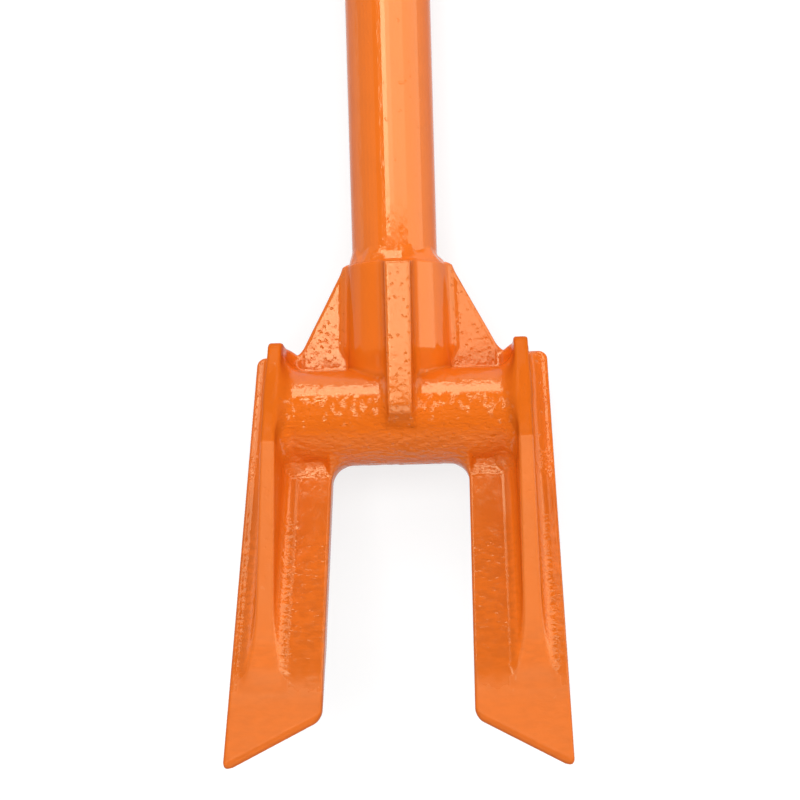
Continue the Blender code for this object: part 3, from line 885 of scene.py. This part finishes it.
def make_floor():
    mesh = bpy.data.meshes.new("floor")
    half = FLOOR_SIZE / 2
    corners = [(x * half, y * half, -FLOOR_DROP)
               for x, y in ((-1, -1), (1, -1), (1, 1), (-1, 1))]
    mesh.from_pydata(corners, [], [(0, 1, 2, 3)])
    floor = bpy.data.objects.new("floor", mesh)
    bpy.context.collection.objects.link(floor)
    material = bpy.data.materials.new("pale_floor")
    material.use_nodes = True
    tree = material.node_tree
    shader = tree.nodes["Principled BSDF"]
    shader.inputs["Base Color"].default_value = (FLOOR_TONE, FLOOR_TONE, FLOOR_TONE, 1)
    shader.inputs["Roughness"].default_value = FLOOR_ROUGHNESS
    shader.inputs["Specular IOR Level"].default_value = 0.0
    shader.inputs["Emission Color"].default_value = (1, 1, 1, 1)
    lift = tree.nodes.new("ShaderNodeMath")
    lift.operation = "MULTIPLY"
    lift.inputs[1].default_value = FLOOR_LIFT
    tree.links.new(seen_directly(tree), lift.inputs[0])
    tree.links.new(lift.outputs["Value"], shader.inputs["Emission Strength"])
    set_material(floor, material)


def make_world():
    world = bpy.data.worlds.new("studio")
    world.use_nodes = True
    background = world.node_tree.nodes["Background"]
    background.inputs["Color"].default_value = (1, 1, 1, 1)
    background.inputs["Strength"].default_value = ROOM_LEVEL
    bpy.context.scene.world = world


# Lamps: name, azimuth, elevation, width and height in degrees, and level
LAMP_DISTANCE = 8.0
LAMPS = [("front_left", -14.0, 19.5, 12.0, 19.0, 5.9),
         ("front_middle", -1.0, 19.5, 14.0, 19.0, 3.6),
         ("front_right", 24.0, 19.5, 36.0, 19.0, 2.8),
         ("far_right", 66.0, 13.0, 48.0, 32.0, 2.1),
         ("low_left", -16.5, 4.5, 9.0, 8.0, 5.9),
         ("low_right", 8.0, 4.5, 10.0, 8.0, 2.9),
         ("side_strip", 23.0, 41.0, 22.0, 9.0, 1.5),
         ("left_strip", -31.0, 47.0, 16.0, 26.0, 3.0),
         ("overhead", -3.0, 66.4, 26.0, 35.2, 4.4),
         ("left_fill", -75.0, 15.0, 70.0, 50.0, 0.35),
         ("low_strip", -3.0, -34.0, 60.0, 8.0, 2.0),
         ("low_fill", 0.0, -42.0, 90.0, 46.0, 0.80)]


def make_lamp(name, azimuth, elevation, width, height, level):
    """A soft panel. Azimuth turns from the front to the right, elevation up the handle."""
    lamp = bpy.data.lights.new(name, "AREA")
    lamp.shape = "RECTANGLE"
    lamp.size = 2 * LAMP_DISTANCE * math.tan(math.radians(width) / 2)
    lamp.size_y = 2 * LAMP_DISTANCE * math.tan(math.radians(height) / 2)
    lamp.energy = level * math.pi * lamp.size * lamp.size_y
    item = bpy.data.objects.new(name, lamp)
    bpy.context.collection.objects.link(item)
    turn = math.radians(azimuth)
    rise = math.radians(elevation)
    away = Vector((math.sin(turn) * math.cos(rise), math.sin(rise),
                   math.cos(turn) * math.cos(rise)))
    item.location = Vector((0, HEAD_Y, HEAD_Z)) + away * LAMP_DISTANCE
    side = Vector((math.cos(turn), 0, -math.sin(turn)))
    up = away.cross(side)
    item.rotation_euler = Matrix((side, up, away)).transposed().to_euler()
    item.visible_camera = False


# Camera: offset in metres from the crossbar's level, turn in degrees, lens in mm
CAMERA_OFFSET = (0.0337, 0.0196, 0.4562)
CAMERA_TURN = (-1.582, 1.758, -1.532)
CAMERA_LENS = 41.097
CAMERA_SHIFT = -0.0501
CAMERA_NEAREST = 0.01


def make_camera():
    camera = bpy.data.cameras.new("camera")
    camera.lens = CAMERA_LENS
    camera.shift_x = CAMERA_SHIFT
    camera.clip_start = CAMERA_NEAREST
    item = bpy.data.objects.new("camera", camera)
    bpy.context.collection.objects.link(item)
    item.location = Vector((0, HEAD_Y, HEAD_Z)) + Vector(CAMERA_OFFSET)
    item.rotation_euler = Euler([math.radians(angle) for angle in CAMERA_TURN])
    bpy.context.scene.camera = item


make_floor()
make_world()
for lamp in LAMPS:
    make_lamp(*lamp)
make_camera()
bpy.context.scene.view_settings.view_transform = "Standard"
